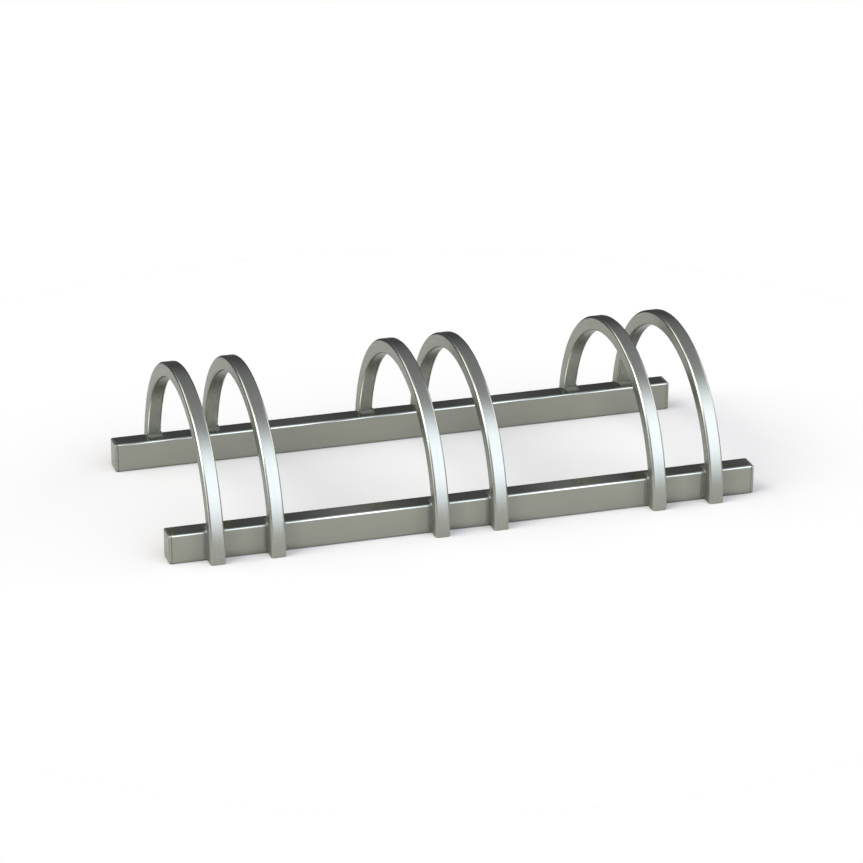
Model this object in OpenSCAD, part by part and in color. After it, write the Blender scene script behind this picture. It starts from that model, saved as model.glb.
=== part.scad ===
// Floor rack for three bicycles: two rectangular rails and six half-circle arches in pairs.
// X runs along the rails, Z is up, and the origin is on the floor at the rack's centre.

/* [Rails] */
// Outer height of the rail tube
rail_height = 40; // [35:1:50]
// Outer depth of the rail tube, from front to back
rail_depth = 30; // [25:1:50]
// Wall of the rail tube
rail_wall = 2; // [1.5:0.5:2.5]
// Outer corner radius of the rail tube
rail_corner_r = 3; // [3:0.5:6]
// Distance between the centre lines of the two rails
rail_spacing = 320; // [280:1:400]
// Bare tube between the outermost arch and the tube's end
rail_overhang = 46; // [30:1:120]

/* [Arches] */
// Outer side of the square arch tube
arch_side = 20; // [18:1:30]
// Wall of the arch tube
arch_wall = 2; // [1.5:0.5:2.5]
// Outer corner radius of the arch tube
arch_corner_r = 4; // [3:0.5:5]
// Clear width between the two arches of a pair, for one tyre
wheel_gap = 60; // [35:1:90]
// Distance from one pair to the next
pair_pitch = 300; // [250:1:450]
// Depth that the inside of the bend reaches into a rail's outer face, level with its centre
seat_depth = 1; // [0.5:0.1:5]
// Height of the bend's centre above the floor
bend_rise = 1.5; // [0:0.1:6]

/* [End caps] */
// Thickness of the cap's outer flange
cap_flange = 4; // [3.5:0.5:8]
// Rounding of the flange's outer edge
cap_edge_r = 2.5; // [0.5:0.1:2.8]
// Length of the plug inside the tube
cap_plug_length = 18; // [10:1:26]
// Wall of the hollow plug
cap_plug_wall = 2; // [1.5:0.5:4]
// Play between the plug and the tube on each side
cap_clearance = 0.2; // [0.1:0.05:0.5]

/* [Welds] */
// Leg length of each fillet seam
weld_leg = 2; // [1.5:0.5:4]
// Height above the floor at which a seam starts
weld_start = 1.5; // [1:0.5:6]
// Distance that a seam stops below the rail's rounded corner
weld_stop = 1; // [0.5:0.5:6]
// Play between a notched foot and the rail
foot_clearance = 0.2; // [0.1:0.05:0.4]

/* [Hidden] */
$fn = 96;
steel = [0.62, 0.62, 0.59];
steel_light = [0.72, 0.73, 0.71];
steel_cap = [0.58, 0.58, 0.55];
steel_weld = [0.5, 0.5, 0.47];
pair_spacing = wheel_gap + arch_side;
rail_length = 2 * pair_pitch + pair_spacing + arch_side + 2 * rail_overhang;
rail_y = rail_spacing / 2;
rail_face_y = rail_y + rail_depth / 2;
rail_bore_r = rail_corner_r - rail_wall;
arch_inner_r = rail_face_y - seat_depth;
arch_mid_r = arch_inner_r + arch_side / 2;
arch_outer_r = arch_inner_r + arch_side;
// Degrees by which a bend runs past level on each side, before it is cut at the floor
bend_overrun = 3;
plug_corner_r = max(rail_bore_r - cap_clearance, 0.5);
weld_height = rail_height - rail_corner_r - weld_stop - weld_start;
// Play between the curved part of a seam and the arch's rounded corner
weld_play = 0.1;
// Length by which cutting shapes run past what they cut
past = 5;

// Centre of arch n, counted from 1 at the left
function arch_x(n) = (floor((n - 1) / 2) - 1) * pair_pitch + (n % 2 == 1 ? -1 : 1) * pair_spacing / 2;

// Rectangle with round corners, centred on the origin
module round_rect(width, height, r) {
    flat_w = width - 2 * r;
    flat_h = height - 2 * r;
    square([width, flat_h], center = true);
    square([flat_w, height], center = true);
    for (sx = [-1, 1], sy = [-1, 1])
        translate([sx * flat_w / 2, sy * flat_h / 2])
            circle(r = r);
}

module tube_section(width, height, r, wall) {
    difference() {
        round_rect(width, height, r);
        round_rect(width - 2 * wall, height - 2 * wall, max(r - wall, 0.5));
    }
}

// Turns an extrusion along Z into one along X, with the section's first axis along Y
module along_x() {
    rotate([90, 0, 90])
        children();
}

module rail(side) {
    translate([0, side * rail_y, rail_height / 2])
        along_x()
            linear_extrude(height = rail_length, center = true)
                tube_section(rail_depth, rail_height, rail_corner_r, rail_wall);
}

// Room that a rail takes in the foot of an arch
module rail_notch(side) {
    room = 2 * foot_clearance;
    translate([0, side * rail_y, rail_height / 2])
        along_x()
            linear_extrude(height = arch_side + 2 * past, center = true)
                round_rect(rail_depth + room, rail_height + room, rail_corner_r + foot_clearance);
}

module floor_cut() {
    span = 2 * (arch_outer_r + past);
    drop = arch_outer_r * sin(bend_overrun) + past;
    translate([-arch_side / 2 - past, -span / 2, -drop])
        cube([arch_side + 2 * past, span, drop]);
}

// Half circle swept by a section that its children draw
module bend() {
    translate([0, 0, bend_rise])
        along_x()
            rotate([0, 0, -bend_overrun])
                rotate_extrude(angle = 180 + 2 * bend_overrun, $fn = 180)
                    translate([arch_mid_r, 0])
                        children();
}

// Half circle of square tube, cut level with the floor and notched round both rails
module arch(n) {
    translate([arch_x(n), 0, 0])
        difference() {
            bend()
                tube_section(arch_side, arch_side, arch_corner_r, arch_wall);
            floor_cut();
            rail_notch(-1);
            rail_notch(1);
        }
}

// Half section of a plate's rounded rim, from its corner centre outwards
module rim_section() {
    square([rail_corner_r - cap_edge_r, cap_edge_r]);
    intersection() {
        translate([rail_corner_r - cap_edge_r, 0])
            circle(r = cap_edge_r);
        square([rail_corner_r, cap_edge_r]);
    }
}

// Rim of one side of the plate and of the corner after it
module rim_side(reach, run) {
    translate([reach / 2, run / 2, 0])
        rotate([90, 0, 0])
            linear_extrude(height = run)
                rim_section();
    translate([reach / 2, run / 2, 0])
        rotate_extrude(angle = 90)
            rim_section();
}

// Plate with the rail's outline, its outer edge rounded all the way round
module cap_plate() {
    flat_w = rail_depth - 2 * rail_corner_r;
    flat_h = rail_height - 2 * rail_corner_r;
    linear_extrude(height = cap_flange - cap_edge_r)
        round_rect(rail_depth, rail_height, rail_corner_r);
    translate([0, 0, cap_flange - cap_edge_r]) {
        linear_extrude(height = cap_edge_r)
            square([flat_w, flat_h], center = true);
        for (turn = [0, 180])
            rotate([0, 0, turn]) {
                rim_side(flat_w, flat_h);
                rotate([0, 0, 90])
                    rim_side(flat_h, flat_w);
            }
    }
}

// Cap at the origin, facing +X, with its hollow plug reaching back into the tube
module cap() {
    room = 2 * (rail_wall + cap_clearance);
    along_x()
        cap_plate();
    translate([-cap_plug_length, 0, 0])
        along_x()
            linear_extrude(height = cap_plug_length)
                tube_section(rail_depth - room, rail_height - room, plug_corner_r, cap_plug_wall);
}

module end_cap(end, side) {
    translate([end * rail_length / 2, side * rail_y, rail_height / 2])
        mirror([end < 0 ? 1 : 0, 0, 0])
            cap();
}

// One upright fillet against the arch's flank, with the root that fills the groove at its round corner
module seam() {
    linear_extrude(height = weld_height)
        polygon([[0, 0], [weld_leg, 0], [0, weld_leg]]);
    difference() {
        translate([-arch_corner_r, 0, 0])
            cube([arch_corner_r, weld_leg, weld_height]);
        translate([-arch_side / 2, -rail_face_y, -weld_start])
            bend()
                round_rect(arch_side + 2 * weld_play, arch_side + 2 * weld_play, arch_corner_r + weld_play);
    }
}

// Two seams, one on each flank of the foot, against the rail's outer face
module weld(n, side) {
    translate([arch_x(n), side * rail_face_y, weld_start])
        mirror([0, side < 0 ? 1 : 0, 0])
            for (flank = [0, 1])
                mirror([flank, 0, 0])
                    translate([arch_side / 2, 0, 0])
                        seam();
}

module front_rail() { color(steel) rail(-1); }
module rear_rail() { color(steel) rail(1); }

module arch_1() { color(steel_light) arch(1); }
module arch_2() { color(steel_light) arch(2); }
module arch_3() { color(steel_light) arch(3); }
module arch_4() { color(steel_light) arch(4); }
module arch_5() { color(steel_light) arch(5); }
module arch_6() { color(steel_light) arch(6); }

module end_cap_front_left() { color(steel_cap) end_cap(-1, -1); }
module end_cap_front_right() { color(steel_cap) end_cap(1, -1); }
module end_cap_rear_left() { color(steel_cap) end_cap(-1, 1); }
module end_cap_rear_right() { color(steel_cap) end_cap(1, 1); }

module weld_front_1() { color(steel_weld) weld(1, -1); }
module weld_front_2() { color(steel_weld) weld(2, -1); }
module weld_front_3() { color(steel_weld) weld(3, -1); }
module weld_front_4() { color(steel_weld) weld(4, -1); }
module weld_front_5() { color(steel_weld) weld(5, -1); }
module weld_front_6() { color(steel_weld) weld(6, -1); }
module weld_rear_1() { color(steel_weld) weld(1, 1); }
module weld_rear_2() { color(steel_weld) weld(2, 1); }
module weld_rear_3() { color(steel_weld) weld(3, 1); }
module weld_rear_4() { color(steel_weld) weld(4, 1); }
module weld_rear_5() { color(steel_weld) weld(5, 1); }
module weld_rear_6() { color(steel_weld) weld(6, 1); }

front_rail();
rear_rail();
arch_1();
arch_2();
arch_3();
arch_4();
arch_5();
arch_6();
end_cap_front_left();
end_cap_front_right();
end_cap_rear_left();
end_cap_rear_right();
weld_front_1();
weld_front_2();
weld_front_3();
weld_front_4();
weld_front_5();
weld_front_6();
weld_rear_1();
weld_rear_2();
weld_rear_3();
weld_rear_4();
weld_rear_5();
weld_rear_6();
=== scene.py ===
import math

import bmesh
import bpy
from mathutils import Matrix, Vector


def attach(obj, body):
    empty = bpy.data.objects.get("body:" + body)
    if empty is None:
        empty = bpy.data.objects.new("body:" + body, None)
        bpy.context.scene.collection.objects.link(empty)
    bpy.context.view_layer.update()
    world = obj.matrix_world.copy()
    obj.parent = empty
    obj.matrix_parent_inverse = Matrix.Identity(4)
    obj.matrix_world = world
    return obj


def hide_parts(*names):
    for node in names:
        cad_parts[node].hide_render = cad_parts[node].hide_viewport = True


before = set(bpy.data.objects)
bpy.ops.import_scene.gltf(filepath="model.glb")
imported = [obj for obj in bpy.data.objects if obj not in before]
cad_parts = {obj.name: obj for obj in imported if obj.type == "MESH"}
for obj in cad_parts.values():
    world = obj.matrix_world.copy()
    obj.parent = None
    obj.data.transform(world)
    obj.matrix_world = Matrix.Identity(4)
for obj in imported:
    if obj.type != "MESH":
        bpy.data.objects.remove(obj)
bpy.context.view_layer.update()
scene = bpy.context.scene
scene.view_settings.view_transform = "Standard"
mm = 0.001
degrees = 180 / math.pi


# Shader helpers

class Wire:
    # an output socket that takes part in plain arithmetic
    def __init__(self, tree, socket=None):
        self.tree = tree
        self.socket = socket

    def add(self, kind, settings, inputs, output=0):
        node = self.tree.nodes.new("ShaderNode" + kind)
        for name, value in settings.items():
            setattr(node, name, value)
        for key, value in inputs.items():
            if isinstance(value, Wire):
                self.tree.links.new(value.socket, node.inputs[key])
            else:
                node.inputs[key].default_value = value
        if not node.outputs:
            return None
        return Wire(self.tree, node.outputs[output])

    def also(self, output):
        return Wire(self.tree, self.socket.node.outputs[output])

    def calc(self, operation, *values):
        return self.add("Math", {"operation": operation}, dict(enumerate(values)))

    def __add__(self, other):
        return self.calc("ADD", self, other)

    def __radd__(self, other):
        return self.calc("ADD", other, self)

    def __sub__(self, other):
        return self.calc("SUBTRACT", self, other)

    def __rsub__(self, other):
        return self.calc("SUBTRACT", other, self)

    def __mul__(self, other):
        return self.calc("MULTIPLY", self, other)

    def __rmul__(self, other):
        return self.calc("MULTIPLY", other, self)

    def __truediv__(self, other):
        return self.calc("DIVIDE", self, other)

    def __rtruediv__(self, other):
        return self.calc("DIVIDE", other, self)

    def __pow__(self, other):
        return self.calc("POWER", self, other)

    def __rpow__(self, other):
        return self.calc("POWER", other, self)

    def __neg__(self):
        return self.calc("MULTIPLY", self, -1.0)

    def __abs__(self):
        return self.calc("ABSOLUTE", self)

    def least(self, other):
        return self.calc("MINIMUM", self, other)

    def rounded(self):
        return self.calc("ROUND", self)

    def step(self, start, end, low=0.0, high=1.0):
        # smooth change from low to high while the value goes from start to end
        values = {0: self, 1: start, 2: end, 3: low, 4: high}
        return self.add("MapRange", {"interpolation_type": "SMOOTHSTEP"}, values)

    def blend(self, first, second):
        # mix of two colours with this value as the factor
        return self.add("Mix", {"data_type": "RGBA"}, {0: self, 6: first, 7: second}, 2)

    def split(self):
        x = self.add("SeparateXYZ", {}, {0: self})
        return x, x.also(1), x.also(2)

    def join(self, x, y, z):
        return self.add("CombineXYZ", {}, {0: x, 1: y, 2: z})

    def noise(self, vector, scale, detail=2.0):
        return self.add("TexNoise", {}, {"Vector": vector, "Scale": scale, "Detail": detail})


def tinted(color, factor):
    return tuple(channel * factor for channel in color) + (1.0,)


# Mesh helpers: every piece starts as a loft of closed loops with the same number of points

def roundRect(width, height, radius, steps):
    points = []
    for corner in range(4):
        cx = (width / 2 - radius) * (1 if corner in (0, 3) else -1)
        cy = (height / 2 - radius) * (1 if corner in (0, 1) else -1)
        for i in range(steps + 1):
            angle = math.pi / 2 * (corner + i / steps)
            points.append((cx + radius * math.cos(angle), cy + radius * math.sin(angle)))
    return points


def loft(mesh, loops, cyclic):
    rings = [[mesh.verts.new(point) for point in loop] for loop in loops]
    count = len(rings[0])
    pairs = list(zip(rings, rings[1:]))
    if cyclic:
        pairs.append((rings[-1], rings[0]))
    else:
        mesh.faces.new(rings[0])
        mesh.faces.new(rings[-1])
    for near, far in pairs:
        for i in range(count):
            j = (i + 1) % count
            mesh.faces.new((near[i], near[j], far[j], far[i]))


def meshFrom(name, mesh):
    bmesh.ops.recalc_face_normals(mesh, faces=mesh.faces)
    data = bpy.data.meshes.new(name)
    mesh.to_mesh(data)
    mesh.free()
    return data


def addPiece(name, data, material, node, sharpAngle=40):
    piece = bpy.data.objects.new(name, data)
    scene.collection.objects.link(piece)
    data.polygons.foreach_set("use_smooth", [True] * len(data.polygons))
    data.set_sharp_from_angle(angle=math.radians(sharpAngle))
    data.materials.append(material)
    weighted = piece.modifiers.new("weightedNormals", "WEIGHTED_NORMAL")
    weighted.keep_sharp = True
    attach(piece, "root")
    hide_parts(node)


# Steel finish

def brushed(name, look, guide):
    # guide gives the place along, across and below the grain, the distance inside the nearest edge, a tone
    # of painted shade and sheen (1.0 where there is none) and the share of a rougher, hand-dressed finish
    material = bpy.data.materials.new(name)
    material.use_nodes = True
    material.node_tree.nodes.clear()
    wire = Wire(material.node_tree)
    place = wire.add("TexCoord", {}, {}, "Object")
    along, across, depth, inside, paintedLight, dressed = guide(place)

    def grain(size, detail):
        side, length = size
        return wire.noise(wire.join(along / length, across / side, depth / side), 1.0, detail)

    fine = grain(look["fineGrain"], 3.0)
    broad = grain(look["broadGrain"], 2.0)
    cloud = wire.noise(place, 1 / look["cloudSize"], 3.0)
    patchy = cloud.step(*look["wearPatches"], look["wearLeast"], 1.0)
    edgeWearAndShade = inside.step(0.0, look["wearAndShadeWidth"], 1.0, 0.0) * patchy
    # a shade of 0.5 is the colour as written
    shade = (fine - 0.5) * look["fineShade"] + (broad - 0.5) * look["broadShade"]
    # near the edges: on the caps a painted shade that darkens the rim, on the other pieces wear
    shade = shade + (cloud - 0.5) * look["cloudShade"] + edgeWearAndShade * look["wearAndPaintedShade"] + paintedLight * 0.5
    color = shade.blend((0.0, 0.0, 0.0, 1.0), tinted(look["color"], 2.0))
    rough = (fine - 0.5) * look["fineRough"] + (cloud - 0.5) * look["cloudRough"]
    rough = rough - edgeWearAndShade * look["wearRough"] + look["roughness"] + dressed * look["dressedRough"]
    height = fine * look["fineHeight"] + broad * look["broadHeight"]
    bump = wire.add("Bump", {}, {"Strength": look["bump"], "Distance": 1 * mm, "Height": height})
    shader = wire.add("BsdfPrincipled", {}, {
        "Base Color": color,
        "Metallic": 1.0,
        "Roughness": rough,
        "Normal": bump,
        "Specular Tint": tinted((1, 1, 1), look["edgeTint"]),
    })
    wire.add("OutputMaterial", {}, {"Surface": shader})
    return material


steelLook = {
    "color": (0.300, 0.305, 0.260),
    "roughness": 0.27,
    "edgeTint": 0.73,
    "fineGrain": (0.3 * mm, 30 * mm),
    "broadGrain": (2.5 * mm, 120 * mm),
    "cloudSize": 45 * mm,
    "fineShade": 0.05,
    "broadShade": 0.06,
    "cloudShade": 0.06,
    "fineRough": 0.05,
    "cloudRough": 0.06,
    "fineHeight": 0.006,
    "broadHeight": 0.003,
    "bump": 0.35,
    "wearAndShadeWidth": 1.0 * mm,
    "wearPatches": (0.35, 0.65),
    "wearLeast": 0.35,
    "wearAndPaintedShade": 0.05,
    "wearRough": 0.03,
    "dressedRough": 0.44,
}


# Rails

rail = {
    "height": 40 * mm,
    "depth": 30 * mm,
    "wall": 2 * mm,
    "corner": 3 * mm,
    "boreCorner": 1 * mm,
    "halfLength": 396 * mm,
    "y": 160 * mm,
    "z": 20 * mm,
    "endChamfer": 0.45 * mm,
    "cornerSteps": 10,
    "spans": 24,
    "look": {**steelLook, "roughness": 0.16, "edgeTint": 0.38},
    "faceSkin": 0.5 * mm,  # depth that still counts as the outer side or the top
    # painted shade: the outer side's tone right beside a weld, and the width over which it fades
    "paintedShadeBeside": 0.80,  # of the outer side, right beside a weld
    "paintedShadeWidth": 32 * mm,
    # painted sheen on the top: its reach from the middle of a pair and its strength on the front and rear
    # rail
    "paintedSheenReach": (60 * mm, 140 * mm),  # from the middle of a pair, along the top
    "paintedSheenFront": 0.9,
    "paintedSheenRear": 0.35,
    "dressedSide": (7 * mm, 3 * mm),  # from an arch's flank, along the outer side
    "dressedTop": (2.5 * mm, -2.5 * mm),  # from an arch's flank, along the top
    "dressedTopReach": (29 * mm, 8 * mm),  # from the outer side, across the top
}

# the arches' sizes are here because the rails' finish follows them
arch = {
    "count": 6,
    "side": 20 * mm,
    "wall": 2 * mm,
    "corner": 4 * mm,
    "boreCorner": 2 * mm,
    "midRadius": 184 * mm,
    "rise": 1.5 * mm,
    "cornerSteps": 10,
    "segments": 160,
    "overrun": 3,  # degrees past level at each end, before the cut
    "pitch": 300 * mm,
    "spacing": 80 * mm,
    "cutPlay": 0.2 * mm,
    "cutWidth": 50 * mm,
    "look": steelLook,
    "dressedFoot": (62 * mm, 34 * mm),  # height above the floor
    "dressedFlank": (3 * mm, 1 * mm),  # depth inside a flank
    "dressing": 0.7,
}
archX = [(i // 2 - 1) * arch["pitch"] + (i % 2 - 0.5) * arch["spacing"] for i in range(arch["count"])]


def nearestPair(x):
    return (x / arch["pitch"]).rounded() * arch["pitch"]


def insideEdge(across, depth, corner):
    # distance from a long edge, counted from about the middle of its rounding
    return (across * across + depth * depth) ** 0.5 - corner / 2


def railInside(y, z):
    across = rail["depth"] / 2 - abs(abs(y) - rail["y"])
    depth = rail["height"] / 2 - abs(z - rail["z"])
    return insideEdge(across, depth, rail["corner"])


def railGuide(place):
    # painted shade darkens the outer side beside the welds, a painted sheen lightens the top away from the
    # pairs, and the finish is rougher round each joint
    x, y, z = place.split()
    face = rail["y"] + rail["depth"] / 2
    fromPair = abs(x - nearestPair(x))
    beside = abs(fromPair - arch["spacing"] / 2) - arch["side"] / 2
    # painted shade, darkest beside a weld
    paintedLight = beside.step(0.0, rail["paintedShadeWidth"], rail["paintedShadeBeside"], 1.0)
    outside = abs(y).step(face - rail["corner"], face - rail["faceSkin"])
    top = z.step(rail["height"] - rail["corner"], rail["height"] - rail["faceSkin"])
    inLine = beside.step(*rail["dressedTop"]) * (face - abs(y)).step(*rail["dressedTopReach"]) * top
    dressed = inLine + beside.step(*rail["dressedSide"]) * outside
    # painted sheen, lighter on the top away from the pairs
    paintedSheen = fromPair.step(*rail["paintedSheenReach"]) * top
    paintedSheen = paintedSheen * y.step(-rail["y"], rail["y"], rail["paintedSheenFront"], rail["paintedSheenRear"])
    return x, y, z, railInside(y, z), 1 - (1 - paintedLight) * outside + paintedSheen, dressed


def railLoop(x, side, inset, radius):
    # the rail's outline, moved in by the inset
    outline = roundRect(rail["depth"] - 2 * inset, rail["height"] - 2 * inset, radius, rail["cornerSteps"])
    return [(x, side * rail["y"] + u, rail["z"] + v) for u, v in outline]


def railMesh(side):
    bevel = rail["endChamfer"]
    half = rail["halfLength"]
    spots = [(half * (2 * i / rail["spans"] - 1), 0) for i in range(1, rail["spans"])]
    spots = [(-half, bevel), (bevel - half, 0)] + spots + [(half - bevel, 0), (half, bevel)]
    loops = [railLoop(x, side, inset, rail["corner"] - inset) for x, inset in spots]
    loops += [railLoop(x, side, rail["wall"], rail["boreCorner"]) for x in (half, -half)]
    mesh = bmesh.new()
    loft(mesh, loops, True)
    return meshFrom("rail", mesh)


railSteel = brushed("railSteel", rail["look"], railGuide)
for name, side in (("front_rail", -1), ("rear_rail", 1)):
    addPiece(name + "_tube", railMesh(side), railSteel, name)
print("rails done")


# Arches

def archGuide(place):
    x, y, z = place.split()
    rise = z - arch["rise"]
    angle = rise.calc("ARCTAN2", rise, -y)
    across = arch["side"] / 2 - abs(abs(x - nearestPair(x)) - arch["spacing"] / 2)
    depth = arch["side"] / 2 - abs((y * y + rise * rise) ** 0.5 - arch["midRadius"])
    inside = insideEdge(across, depth, arch["corner"])
    dressed = z.step(*arch["dressedFoot"]) * across.step(*arch["dressedFlank"]) * arch["dressing"]
    return angle * arch["midRadius"], x, depth, inside, 1.0, dressed


def archMesh():
    # a swept half circle that runs past the floor, then is cut level and round both rails
    start = -math.radians(arch["overrun"])
    sweep = math.pi - 2 * start
    angles = [start + sweep * i / arch["segments"] for i in range(arch["segments"] + 1)]

    def ring(outline, angle):
        loop = []
        for u, v in outline:
            radius = arch["midRadius"] + v
            loop.append((u, -radius * math.cos(angle), radius * math.sin(angle) + arch["rise"]))
        return loop

    boreSide = arch["side"] - 2 * arch["wall"]
    outer = roundRect(arch["side"], arch["side"], arch["corner"], arch["cornerSteps"])
    bore = roundRect(boreSide, boreSide, arch["boreCorner"], arch["cornerSteps"])
    mesh = bmesh.new()
    loft(mesh, [ring(outer, a) for a in angles] + [ring(bore, a) for a in reversed(angles)], True)
    blank = bpy.data.objects.new("archBlank", meshFrom("archBlank", mesh))
    scene.collection.objects.link(blank)

    half = arch["cutWidth"] / 2
    reach = arch["midRadius"] + arch["side"]
    drop = reach / 4
    corners = [(-reach, -drop), (reach, -drop), (reach, 0), (-reach, 0)]
    floorCut = bmesh.new()
    loft(floorCut, [[(x, y, z) for y, z in corners] for x in (-half, half)], False)
    tools = [meshFrom("floorCut", floorCut)]
    play = arch["cutPlay"]
    for side in (-1, 1):
        notch = bmesh.new()
        loft(notch, [railLoop(x, side, -play, rail["corner"] + play) for x in (-half, half)], False)
        tools.append(meshFrom("railNotch", notch))
    cutters = []
    for data in tools:
        cutter = bpy.data.objects.new(data.name, data)
        scene.collection.objects.link(cutter)
        cutters.append(cutter)
        cut = blank.modifiers.new(data.name, "BOOLEAN")
        cut.operation = "DIFFERENCE"
        cut.solver = "EXACT"
        cut.object = cutter
    bpy.context.view_layer.update()
    result = bpy.data.meshes.new_from_object(blank.evaluated_get(bpy.context.evaluated_depsgraph_get()))
    for item in cutters + [blank]:
        bpy.data.objects.remove(item)
    return result


archSteel = brushed("archSteel", arch["look"], archGuide)
archShape = archMesh()
for i, x in enumerate(archX):
    data = archShape.copy()
    data.transform(Matrix.Translation((x, 0, 0)))
    addPiece(f"arch_{i + 1}_tube", data, archSteel, f"arch_{i + 1}")
bpy.data.meshes.remove(archShape)
print("arches done")


# End caps

cap = {
    "flange": 4 * mm,
    "rim": 2.5 * mm,
    "backChamfer": 0.5 * mm,
    "plugPlay": 0.2 * mm,
    "plugCorner": 0.8 * mm,
    "plugWall": 2 * mm,
    "plugBoreCorner": 0.5 * mm,
    "plugLength": 18 * mm,
    "rimSteps": 10,
    "look": {
        **steelLook,
        "roughness": 0.28,
        "edgeTint": 0.90,
        "fineGrain": (0.5 * mm, 3 * mm),
        "broadGrain": (5 * mm, 8 * mm),
        "wearAndShadeWidth": 1.6 * mm,
        # darker near the edges: painted shade that dims the highlight on the cap's rim
        "wearAndPaintedShade": -0.26,
    },
}


def capGuide(place):
    x, y, z = place.split()
    return z, y, x, railInside(y, z), 1.0, 0.0


def capMesh(end, side):
    plug = rail["wall"] + cap["plugPlay"]
    bore = plug + cap["plugWall"]
    back = cap["backChamfer"]
    # distance out from the tube's end, inset from the rail's outline, corner radius
    profile = [
        (0, bore, cap["plugBoreCorner"]),
        (-cap["plugLength"], bore, cap["plugBoreCorner"]),
        (-cap["plugLength"], plug, cap["plugCorner"]),
        (0, plug, cap["plugCorner"]),
        (0, back, rail["corner"] - back),
        (back, 0, rail["corner"]),
    ]
    for i in range(cap["rimSteps"] + 1):
        angle = math.pi / 2 * i / cap["rimSteps"]
        inset = cap["rim"] * (1 - math.cos(angle))
        out = cap["flange"] - cap["rim"] * (1 - math.sin(angle))
        profile.append((out, inset, rail["corner"] - inset))
    place = rail["halfLength"]
    loops = [railLoop(end * (place + out), side, inset, radius) for out, inset, radius in profile]
    mesh = bmesh.new()
    loft(mesh, loops, False)
    return meshFrom("cap", mesh)


capSteel = brushed("capSteel", cap["look"], capGuide)
for end, endName in ((-1, "left"), (1, "right")):
    for side, sideName in ((-1, "front"), (1, "rear")):
        node = f"end_cap_{sideName}_{endName}"
        addPiece(node + "_plug", capMesh(end, side), capSteel, node)
print("caps done")


# Weld seams

weld = {
    "leg": 2 * mm,
    "bottom": 1.5 * mm,  # height above the floor at which a seam starts
    "over": 2.5 * mm,  # length past the rail's corner, on its top
    "ripple": 0.10,
    "pitch": 1.6 * mm,
    "flankShift": 0.3,  # of the ripples, in pitches
    "ringsPerRipple": 6,
    "endSize": 0.45,  # of the leg, at either end of a seam
    "bulge": 0.18,
    "curveSteps": 6,
    "roots": [(-0.7 * mm, 1.6 * mm), (-1.6 * mm, 0)],
    "sharpAngle": 60,
    "look": {
        **steelLook,
        "color": (0.17, 0.17, 0.15),
        "roughness": 0.50,
        "fineGrain": (1 * mm, 1 * mm),
        "broadGrain": (3 * mm, 3 * mm),
        "cloudSize": 4 * mm,
        "cloudShade": 0.3,
    },
}
weldUpright = rail["height"] - rail["corner"] - weld["bottom"]  # the straight part of a seam


def weldGuide(place):
    # the edge of a seam is its line on the rail's face
    x, y, z = place.split()
    return z, x, y, abs(y) - (rail["y"] + rail["depth"] / 2), 1.0, 0.0


def weldSpot(run):
    # place and outward direction at a distance along the rail's outline: up its face, round the corner
    # and over its top
    face = rail["y"] + rail["depth"] / 2
    corner = rail["corner"]
    angle = min(max((run - weldUpright) / corner, 0), math.pi / 2)
    y = face - corner + corner * math.cos(angle) - max(run - weldUpright - corner * math.pi / 2, 0)
    z = weld["bottom"] + min(run, weldUpright) + corner * math.sin(angle)
    return y, z, math.cos(angle), math.sin(angle)


def weldLoop(x, flank, side, run, size):
    # the bulging face from the rail to the arch's flank, then the root inside the arch's round corner
    y, z, outY, outZ = weldSpot(run)
    points = []
    for i in range(weld["curveSteps"] + 1):
        t = i / weld["curveSteps"]
        push = 1 + weld["bulge"] * 4 * t * (1 - t)
        points.append(((1 - t) * push * size, t * push * size))
    points += weld["roots"]
    return [(x + flank * (arch["side"] / 2 + u), side * (y + v * outY), z + v * outZ) for u, v in points]


def weldMesh(x, side):
    mesh = bmesh.new()
    length = weldUpright + rail["corner"] * math.pi / 2 + weld["over"]
    count = round(length / weld["pitch"] * weld["ringsPerRipple"])
    for flank in (-1, 1):
        loops = []
        for i in range(count + 1):
            t = i / count
            run = length * t
            wave = abs(math.sin(math.pi * (run / weld["pitch"] + weld["flankShift"] * flank)))
            ripple = 1 - weld["ripple"] * (1 - wave)
            taper = min(1, min(t, 1 - t) * length / weld["leg"] + weld["endSize"])
            loops.append(weldLoop(x, flank, side, run, weld["leg"] * taper * ripple))
        loft(mesh, loops, False)
    return meshFrom("weld", mesh)


weldSteel = brushed("weldSteel", weld["look"], weldGuide)
for side, sideName in ((-1, "front"), (1, "rear")):
    for i, x in enumerate(archX):
        node = f"weld_{sideName}_{i + 1}"
        addPiece(node + "_bead", weldMesh(x, side), weldSteel, node, weld["sharpAngle"])
print("welds done")


# Floor

floorLook = {
    "radius": 0.95,
    "segments": 128,
    "sink": 0.2 * mm,
    "color": (0.517, 0.497, 0.457),
    "grain": 900,
    "grainShade": 0.005,
    "glow": 0.02,
}


def floorMaterial():
    material = bpy.data.materials.new("paperFloor")
    material.use_nodes = True
    material.node_tree.nodes.clear()
    wire = Wire(material.node_tree)
    grain = wire.noise(wire.add("TexCoord", {}, {}, "Object"), floorLook["grain"], 3.0)
    darker = tinted(floorLook["color"], 1 - floorLook["grainShade"])
    lighter = tinted(floorLook["color"], 1 + floorLook["grainShade"])
    rays = wire.add("LightPath", {}, {}, "Is Camera Ray")
    seen = (rays + rays.also("Is Glossy Ray") + rays.also("Is Transmission Ray")).least(1.0)
    paper = wire.add("BsdfPrincipled", {}, {
        "Base Color": grain.blend(darker, lighter),
        "Roughness": 1.0,
        "Specular IOR Level": 0.0,
        "Emission Color": seen.blend((0.0, 0.0, 0.0, 1.0), tinted((1, 1, 1), floorLook["glow"])),
        "Emission Strength": 1.0,
    })
    wire.add("OutputMaterial", {}, {"Surface": paper})
    return material


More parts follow.
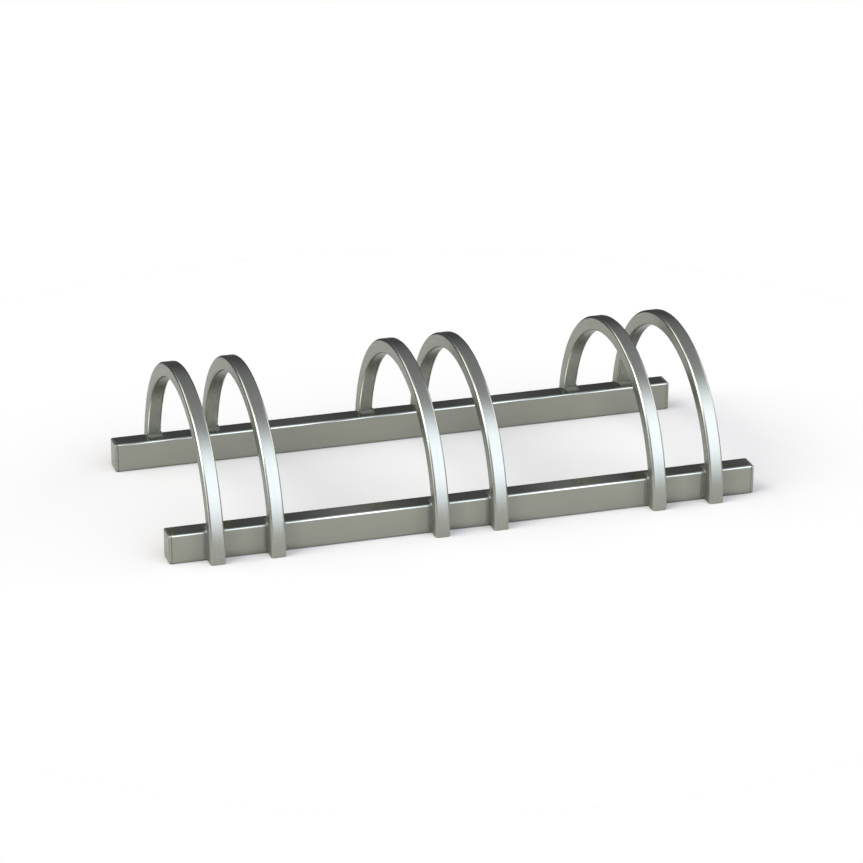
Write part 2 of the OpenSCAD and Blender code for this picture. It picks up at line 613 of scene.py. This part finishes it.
floorMesh = bmesh.new()
bmesh.ops.create_circle(floorMesh, cap_ends=True, segments=floorLook["segments"], radius=floorLook["radius"])
floorData = bpy.data.meshes.new("floor")
floorMesh.to_mesh(floorData)
floorMesh.free()
floorData.materials.append(floorMaterial())
floor = bpy.data.objects.new("floor", floorData)
scene.collection.objects.link(floor)
floor.location.z = -floorLook["sink"]
print("floor done")


# Studio: soft light painted on the world by direction, in degrees. "over" is the angle from the front
# horizon up and back, and the back and top light reach from the front to theirs. The front light comes
# with "rise", goes with "fall" and ends to the left and right along X. A card's "turn" goes from the front
# to the right, and its "edge" is the angle from its middle over which it fades.

studio = {
    "room": 0.10,
    "back": {"over": (172, 134), "light": 0.33},
    "top": {"over": (140, 92), "light": 0.16},
    "domeColor": (0.98, 1.0, 1.14, 1.0),
    "front": {
        "rise": (-20, 26),
        "fall": (88, 48),
        "left": (-0.36, 0.02),
        "right": (1.05, 0.80),
        "light": 2.8,
    },
    "frontColor": (0.93, 1.0, 1.2, 1.0),
    "cards": [
        {"turn": -80, "rise": 50, "edge": (26, 10), "light": 9.2},
        {"turn": -90, "rise": 12, "edge": (24, 8), "light": 3.1},
        {"turn": -132, "rise": 30, "edge": (20, 8), "light": 3.4},
        {"turn": 98, "rise": 25, "edge": (27, 8), "light": 2.8},
    ],
    "cardColor": (0.98, 1.0, 1.02, 1.0),
}


def buildWorld():
    world = bpy.data.worlds.new("studio")
    scene.world = world
    world.use_nodes = True
    world.node_tree.nodes.clear()
    wire = Wire(world.node_tree)
    place = wire.add("TexCoord", {}, {}, "Generated")
    x, y, z = place.split()
    over = 90 - z.calc("ARCTAN2", -y, z) * degrees
    dome = over.step(*studio["back"]["over"], 0.0, studio["back"]["light"]) + studio["room"]
    dome = dome + over.step(*studio["top"]["over"], 0.0, studio["top"]["light"])
    front = studio["front"]
    box = over.step(*front["rise"]) * over.step(*front["fall"])
    box = box * x.step(*front["left"]) * x.step(*front["right"]) * front["light"]
    parts = [(dome, studio["domeColor"]), (box, studio["frontColor"])]
    for card in studio["cards"]:
        # a round soft light, by the angle from its middle
        turn = math.radians(card["turn"])
        rise = math.radians(card["rise"])
        middle = (math.sin(turn) * math.cos(rise), -math.cos(turn) * math.cos(rise), math.sin(rise))
        near = place.add("VectorMath", {"operation": "DOT_PRODUCT"}, {0: place, 1: middle}, 1)
        angle = near.calc("ARCCOSINE", near.least(1.0)) * degrees
        parts.append((angle.step(*card["edge"]) * card["light"], studio["cardColor"]))
    glow = None
    for light, color in parts:
        part = wire.add("Background", {}, {"Color": color, "Strength": light})
        glow = wire.add("AddShader", {}, {0: glow, 1: part}) if glow else part
    white = wire.add("Background", {}, {"Color": (1.0, 1.0, 1.0, 1.0), "Strength": 1.0})
    camera = wire.add("LightPath", {}, {}, "Is Camera Ray")
    both = wire.add("MixShader", {}, {0: camera, 1: glow, 2: white})
    wire.add("OutputWorld", {}, {"Surface": both})


buildWorld()
print("studio done")


# Camera

view = {
    "turn": -17.0807,
    "rise": 21.9724,
    "distance": 4.65209,
    "right": -0.003217,
    "up": -0.063682,
    "lens": 143.6299,
    "sensor": 36,
    "clip": (0.1, 50),
}


def addCamera():
    turn = math.radians(view["turn"])
    rise = math.radians(view["rise"])
    back = Vector((math.sin(turn) * math.cos(rise), -math.cos(turn) * math.cos(rise), math.sin(rise)))
    right = Vector((math.cos(turn), math.sin(turn), 0))
    up = back.cross(right)
    data = bpy.data.cameras.new("camera")
    data.sensor_width = view["sensor"]
    data.lens = view["lens"]
    data.clip_start, data.clip_end = view["clip"]
    camera = bpy.data.objects.new("camera", data)
    scene.collection.objects.link(camera)
    turned = Matrix((right, up, back)).transposed().to_4x4()
    turned.translation = back * view["distance"] - right * view["right"] - up * view["up"]
    camera.matrix_world = turned
    scene.camera = camera


addCamera()
print("camera done")
